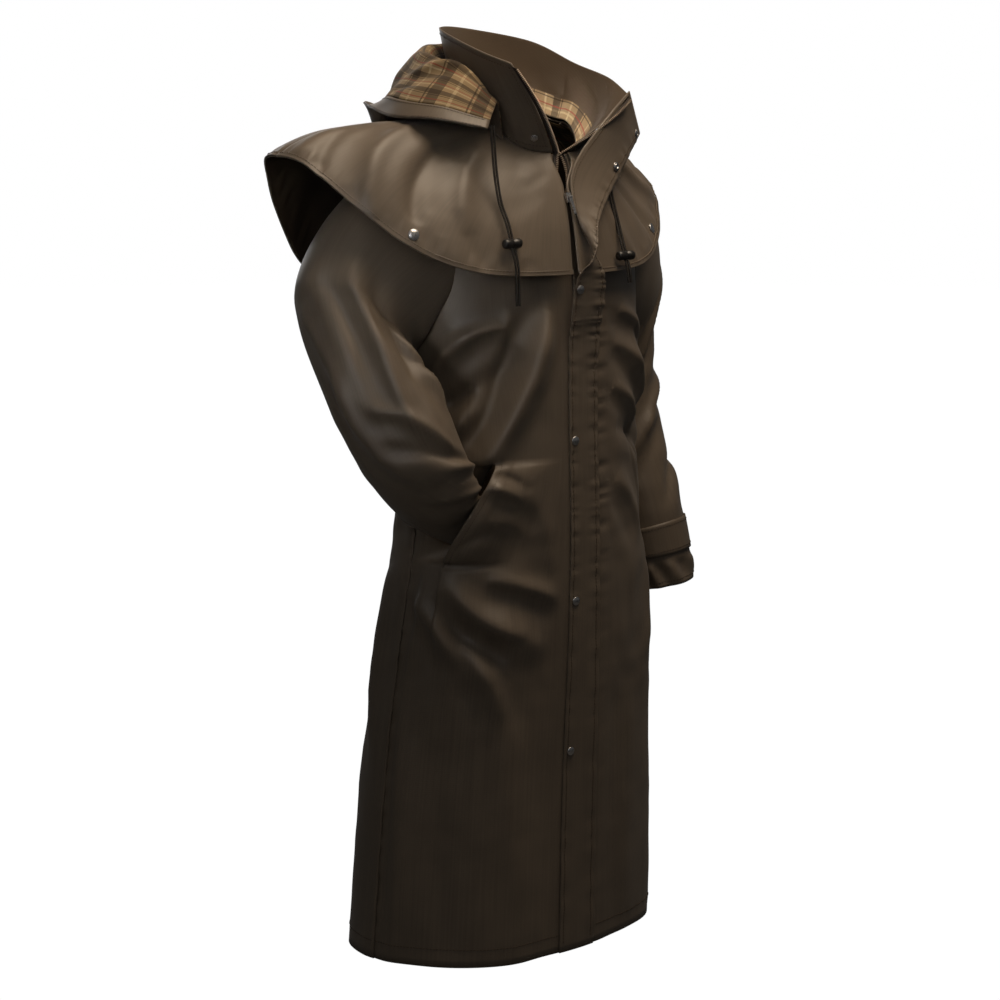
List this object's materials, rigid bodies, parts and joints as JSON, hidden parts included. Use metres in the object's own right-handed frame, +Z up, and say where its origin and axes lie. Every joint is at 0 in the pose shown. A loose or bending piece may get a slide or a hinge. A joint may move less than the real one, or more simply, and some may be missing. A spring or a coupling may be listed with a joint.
{
  "type": "cape coat",
  "caption": "Long zipped coat with a shoulder cape, stand collar, folded hood on drawcords, snapped storm flap and slanted pockets, in worn form with no wearer.",
  "frame": {"origin": "middle of the neck, level with the shoulder seams at the neck, where a wearer's neck and shoulders hold the coat", "axes": "+Z up along the body to the collar, -Y out of the front, +X to the wearer's left"},
  "size_m": [0.7267, 0.401, 1.3043],
  "materials": {
    "brown_coat_cloth": "proofed dark brown cotton, soft satin sheen",
    "dark_zip_tape": "woven dark brown zip tape",
    "check_lining": null,
    "nickel": "nickel-plated steel, light wear",
    "black_cord": "black braided cord and matt black toggles"
  },
  "bodies": {
    "coat": {"front_right": "brown_coat_cloth", "front_left": "brown_coat_cloth", "back": "brown_coat_cloth", "sleeve_right_front": "brown_coat_cloth", "sleeve_right_back": "brown_coat_cloth", "sleeve_left_front": "brown_coat_cloth", "sleeve_left_back": "brown_coat_cloth", "cape_right": "brown_coat_cloth", "cape_left": "brown_coat_cloth", "cape_back": "brown_coat_cloth", "cape_binding_right": "brown_coat_cloth", "cape_binding_left": "brown_coat_cloth", "cape_binding_back": "brown_coat_cloth", "collar": "brown_coat_cloth", "hood": "brown_coat_cloth", "hood_band": "brown_coat_cloth", "storm_flap": "brown_coat_cloth", "cuff_strap": "brown_coat_cloth", "zip_tape_right": "dark_zip_tape", "zip_tape_left": "dark_zip_tape", "hood_lining": "check_lining", "neck_lining": "check_lining", "zip_slider": "nickel", "flap_snap_1": "nickel", "flap_snap_2": "nickel", "flap_snap_3": "nickel", "flap_snap_4": "nickel", "flap_socket_1": "nickel", "flap_socket_2": "nickel", "collar_stud": "nickel", "cape_snap_right": "nickel", "cape_snap_left": "nickel", "drawcord_right_a": "black_cord", "drawcord_right_b": "black_cord", "toggle_right": "black_cord", "drawcord_left_a": "black_cord", "drawcord_left_b": "black_cord", "toggle_left": "black_cord"},
    "zip_pull": {"zip_pull": "nickel"}
  },
  "joints": [
    {"name": "pull_swing", "type": "hinge", "parent": "coat", "child": "zip_pull", "pos_m": [-0.01651, -0.12879, -0.1037], "axis": [-1, 0, 0], "range_deg": [0, 150]}
  ]
}
